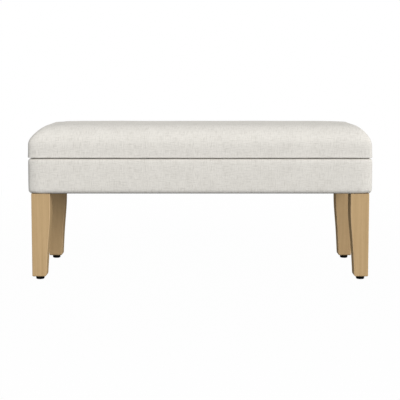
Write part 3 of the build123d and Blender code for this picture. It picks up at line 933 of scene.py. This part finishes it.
def rim_spots(half_x, half_y, pitch):
    """Evenly spaced places round a rectangle: x, y and the way that the side runs."""
    spots = []
    for half_run, half_off, turn in ((half_x, half_y, 0.0), (half_y, half_x, math.pi / 2)):
        count = math.floor(2 * half_run / pitch)
        for side in (-1, 1):
            for i in range(count):
                along = pitch * (i - (count - 1) / 2)
                x, y = (along, side * half_off) if turn == 0 else (side * half_off, along)
                spots.append((x, y, turn))
    return spots


def copied(pattern, spots, height):
    """A row of copies of one small piece, each turned along its side and set at its spot."""
    row = bmesh.new()
    one = bpy.data.meshes.new("pattern")
    pattern.to_mesh(one)
    for x, y, turn in spots:
        place = Matrix.Translation((x, y, height)) @ Matrix.Rotation(turn, 4, "Z")
        one.transform(place)
        row.from_mesh(one)
        one.transform(place.inverted())
    bpy.data.meshes.remove(one)
    pattern.free()
    return row


hem_x, hem_y = lining_high.x - LINING_THICKNESS, lining_high.y - LINING_THICKNESS
hem_top = Ring(hem_x, hem_x, hem_y, LINING_CORNER - LINING_THICKNESS, lining_high.z)
hem_bottom = lining_high.z - HEM_WIDTH
hem_rings = [hem_top] + upright_rings(hem_top, hem_bottom, steps=2)
hem_sheet = wrap(hem_rings, LINING_CELLS, keep_top=False)
lining_hem = thicken(as_object("lining_hem", hem_sheet), LINING_THICKNESS, rounding=0)
finish_piece(lining_hem, "base", "lining_fabric", lining_black)

loop = bmesh.new()
bmesh.ops.create_uvsphere(loop, u_segments=6, v_segments=4, radius=0.5)
bmesh.ops.scale(loop, verts=loop.verts, vec=STITCH_SIZE)
spots = rim_spots(hem_x - LINING_THICKNESS, hem_y - LINING_THICKNESS, STITCH_PITCH)
lining_stitches = as_object("lining_stitches", copied(loop, spots, hem_bottom + STITCH_RISE))
finish_piece(lining_stitches, "base", "lining_fabric", lining_thread)
print("stitches in the hem:", len(spots))

# %% [markdown]
# ## The sheets under the lid and under the box
#
# Two more sheets of the same black fabric close the lid's underside and the box's bottom. Each
# is stapled all round. A stapled sheet is tight at its staples and a little slack between them,
# so the middle of each sheet wanders by a fraction of a millimetre, and the box's own sheet also
# sags a little under its weight.


# %% Staple on the lid lining and the dust cover
SHEET_CELLS = (96, 36)
LID_SLACK, DUST_SAG = 0.5 * MM, 2.5 * MM
WANDER_LENGTH = 70 * MM
SLACK_GROWTH = 8            # how soon the slack is whole, inside the row of staples


def stapled_sheet(node, body, slack, sag):
    """A flat sheet in the place of a node, with its middle a little slack."""
    low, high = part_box(node)
    sheet = bmesh.new()
    bmesh.ops.create_grid(sheet, x_segments=SHEET_CELLS[0], y_segments=SHEET_CELLS[1], size=1)
    bmesh.ops.scale(sheet, verts=sheet.verts, vec=(high.x, high.y, 1))
    cloth = sheet.loops.layers.uv.new("cloth")
    for vert in sheet.verts:
        free_x, free_y = 1 - (vert.co.x / high.x) ** 2, 1 - (vert.co.y / high.y) ** 2
        wander = 0.5 + 0.5 * noise.noise(vert.co / WANDER_LENGTH)
        free = free_x * free_y
        vert.co.z = high.z + min(1.0, SLACK_GROWTH * free) * slack * wander - sag * free ** 2
    for face in sheet.faces:
        for loop in face.loops:
            loop[cloth].uv = loop.vert.co.xy
    piece = thicken(as_object(node + "_sheet", sheet), high.z - low.z, rounding=0)
    finish_piece(piece, body, "lining_fabric", lining_black, node)
    print(node, "mm:", [round(1000 * side) for side in high - low])


stapled_sheet("lid_lining", "lid", LID_SLACK, 0)
stapled_sheet("bottom_dust_cover", "base", 0, DUST_SAG)

# %% [markdown]
# A staple is a flat wire crown that is driven down to the cloth. One staple is a stretched cube
# with its edges bevelled, and it is copied round each sheet like the stitches. The rows skip the
# places where a leg or a bracket is in the way.

# %% Drive the staples
STAPLE_SIZE = (12 * MM, 1.2 * MM, 0.6 * MM)
STAPLE_PITCH = 35 * MM
STAPLE_INSET = 8 * MM
STAPLE_BEVEL = 0.25 * MM
STAPLE_BITE = 0.05 * MM     # how far a crown sinks into the cloth
CLEAR = 8 * MM              # kept free beside a leg or a bracket
BRACKET_REACH = 30 * MM


def staples(node, blocked):
    """Staples round a sheet's edge, under its lower face, except where something is in the way."""
    low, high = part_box(node)
    wire = bmesh.new()
    bmesh.ops.create_cube(wire, size=1)
    bmesh.ops.scale(wire, verts=wire.verts, vec=STAPLE_SIZE)
    bmesh.ops.bevel(
        wire, geom=wire.edges[:], offset=STAPLE_BEVEL, affect="EDGES",
        segments=1, profile=0.5, material=-1,
    )
    spots = rim_spots(high.x - STAPLE_INSET, high.y - STAPLE_INSET, STAPLE_PITCH)
    free = [spot for spot in spots if not blocked(spot[0], spot[1])]
    return copied(wire, free, low.z - STAPLE_SIZE[2] / 2 + STAPLE_BITE)


bracket_low, bracket_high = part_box("stay_lid_brackets")
leg_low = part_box("leg_rear_right")[0]


def near_bracket(x, y):
    """Whether a lid staple would meet a stay's bracket."""
    beside = bracket_low.y - CLEAR < y < bracket_high.y + CLEAR
    return beside and abs(x) > abs(bracket_low.x) - BRACKET_REACH


def near_leg(x, y):
    """Whether a staple under the box would meet a leg."""
    return abs(x) > leg_low.x - CLEAR and abs(y) > leg_low.y - CLEAR


lid_staples = as_object("lid_lining_staples", staples("lid_lining", near_bracket))
finish_piece(lid_staples, "lid", "zinc_steel", zinc)
box_staples = as_object("dust_cover_staples", staples("bottom_dust_cover", near_leg))
finish_piece(box_staples, "base", "zinc_steel", zinc)
print("staple faces:", len(lid_staples.data.polygons) + len(box_staples.data.polygons))

# %% [markdown]
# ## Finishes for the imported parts
#
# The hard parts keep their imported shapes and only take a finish. Each finish is listed with the
# parts that wear it.

# %% Finish the hard parts
WORN_BY = {
    leg_oak: ("leg_front_left", "leg_front_right", "leg_rear_left", "leg_rear_right"),
    ply_long: ("base_front_panel", "base_back_panel"),
    ply_short: ("base_left_panel", "base_right_panel"),
    ply_level: ("base_bottom_panel", "lid_board"),
    zinc: (
        "corner_screws", "bottom_screws", "leg_hanger_bolts", "leg_tee_nuts", "glide_nails",
        "hinge_base_screws", "hinge_lid_screws", "stay_base_screws", "stay_lid_screws",
    ),
    hinge_nickel: ("hinge_base_leaves", "hinge_lid_leaves", "hinge_pins"),
    stay_nickel: (
        "stay_base_brackets", "stay_lid_brackets", "stay_base_rivets", "stay_lid_rivets",
        "stay_lower_arm_left", "stay_upper_arm_left", "stay_elbow_rivet_left",
        "stay_lower_arm_right", "stay_upper_arm_right", "stay_elbow_rivet_right",
    ),
    glide_plastic: ("leg_glides",),
    bumper_rubber: ("lid_bumpers",),
}

for finish, nodes in WORN_BY.items():
    for node in nodes:
        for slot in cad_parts[node].material_slots:
            slot.material = finish
print("packed parts finished:", sum(map(len, WORN_BY.values())))

# %% [markdown]
# ## A white studio
#
# The bench stands on a white sheet that has no visible end. Flooding a white floor with light
# would wash the bench out, so the floor is only mid-grey to the light that bounces about, and it
# glows white for the rays that come straight from the camera. Near the bench a small share of
# its true shade is left, which carries the shadow. The glow is whole further out, so that the
# floor and the background meet without a line.

# %% Lay the floor
FLOOR_GREY = (0.256, 0.268, 0.280)
FLOOR_REACH = 30.0
GLOW_NEAR, GLOW_WHOLE = 0.7, 2.2    # how far out the glow starts to grow, and is whole
GLOW_LEAST = 0.985

floor_sheet = bmesh.new()
bmesh.ops.create_grid(floor_sheet, x_segments=1, y_segments=1, size=FLOOR_REACH)
studio_floor = as_object("studio_floor", floor_sheet)
floor_finish, floor_tree, floor_shader = new_finish("floor_white", FLOOR_GREY, 0.95)
floor_place = solid_place(floor_tree)
distance = add(floor_tree, "VectorMath", {0: floor_place}, operation="LENGTH").outputs["Value"]
glow_share = ranged(distance, GLOW_NEAR, GLOW_WHOLE, GLOW_LEAST, 1.0)
seen = add(floor_tree, "LightPath")
straight = maths("MAXIMUM", seen.outputs["Is Camera Ray"], seen.outputs["Is Glossy Ray"])
glow = add(floor_tree, "Emission", {"Color": (1, 1, 1, 1), "Strength": 1.0})
share = maths("MULTIPLY", straight, glow_share)
surface = floor_shader.outputs["BSDF"].links[0].to_socket
floor_mix = add(floor_tree, "MixShader", {0: share, 1: floor_shader.outputs[0], 2: glow.outputs[0]})
floor_tree.links.new(floor_mix.outputs[0], surface)
studio_floor.data.materials.append(floor_finish)
print("studio floor laid")

# %% [markdown]
# ## Light
#
# One broad lamp stands to the right of the camera and rather low, like a large softbox far
# away: its light is even along the whole bench, and it models the crown of the lid from bright
# to dim. The room's own white walls fill the rest. The room is about three fifths as bright for
# the light that falls on the bench, and plain white where the camera or a polished face looks
# at it.

# %% Light the room
ROOM_FILL = (0.602, 0.613, 0.622)
KEY_AZIMUTH, KEY_ELEVATION = math.radians(37), math.radians(20)
KEY_STRENGTH = 2.234
KEY_COLOR = (1.0, 0.995, 0.985)
KEY_SOFTNESS = math.radians(45)

world = bpy.data.worlds.new("studio")
scene.world = world
world.use_nodes = True
world_tree = world.node_tree
world_tree.nodes.clear()
path = add(world_tree, "LightPath")
direct = maths("MAXIMUM", path.outputs["Is Camera Ray"], path.outputs["Is Glossy Ray"])
direct = maths("MAXIMUM", direct, path.outputs["Is Transmission Ray"])
room = add(world_tree, "Background", {"Color": between(direct, ROOM_FILL, (1, 1, 1))})
world_output = add(world_tree, "OutputWorld")
world_tree.links.new(room.outputs[0], world_output.inputs["Surface"])

key_data = bpy.data.lights.new("key_lamp", "SUN")
key_data.energy = KEY_STRENGTH
key_data.color = KEY_COLOR
key_data.angle = KEY_SOFTNESS
key_lamp = bpy.data.objects.new("key_lamp", key_data)
towards_key = Vector((
    math.sin(KEY_AZIMUTH) * math.cos(KEY_ELEVATION),
    -math.cos(KEY_AZIMUTH) * math.cos(KEY_ELEVATION),
    math.sin(KEY_ELEVATION),
))
key_lamp.rotation_mode = "QUATERNION"
key_lamp.rotation_quaternion = towards_key.to_track_quat("Z", "Y")
scene.collection.objects.link(key_lamp)
scene.view_settings.view_transform = "Standard"
print("key lamp:", [round(part, 2) for part in towards_key])
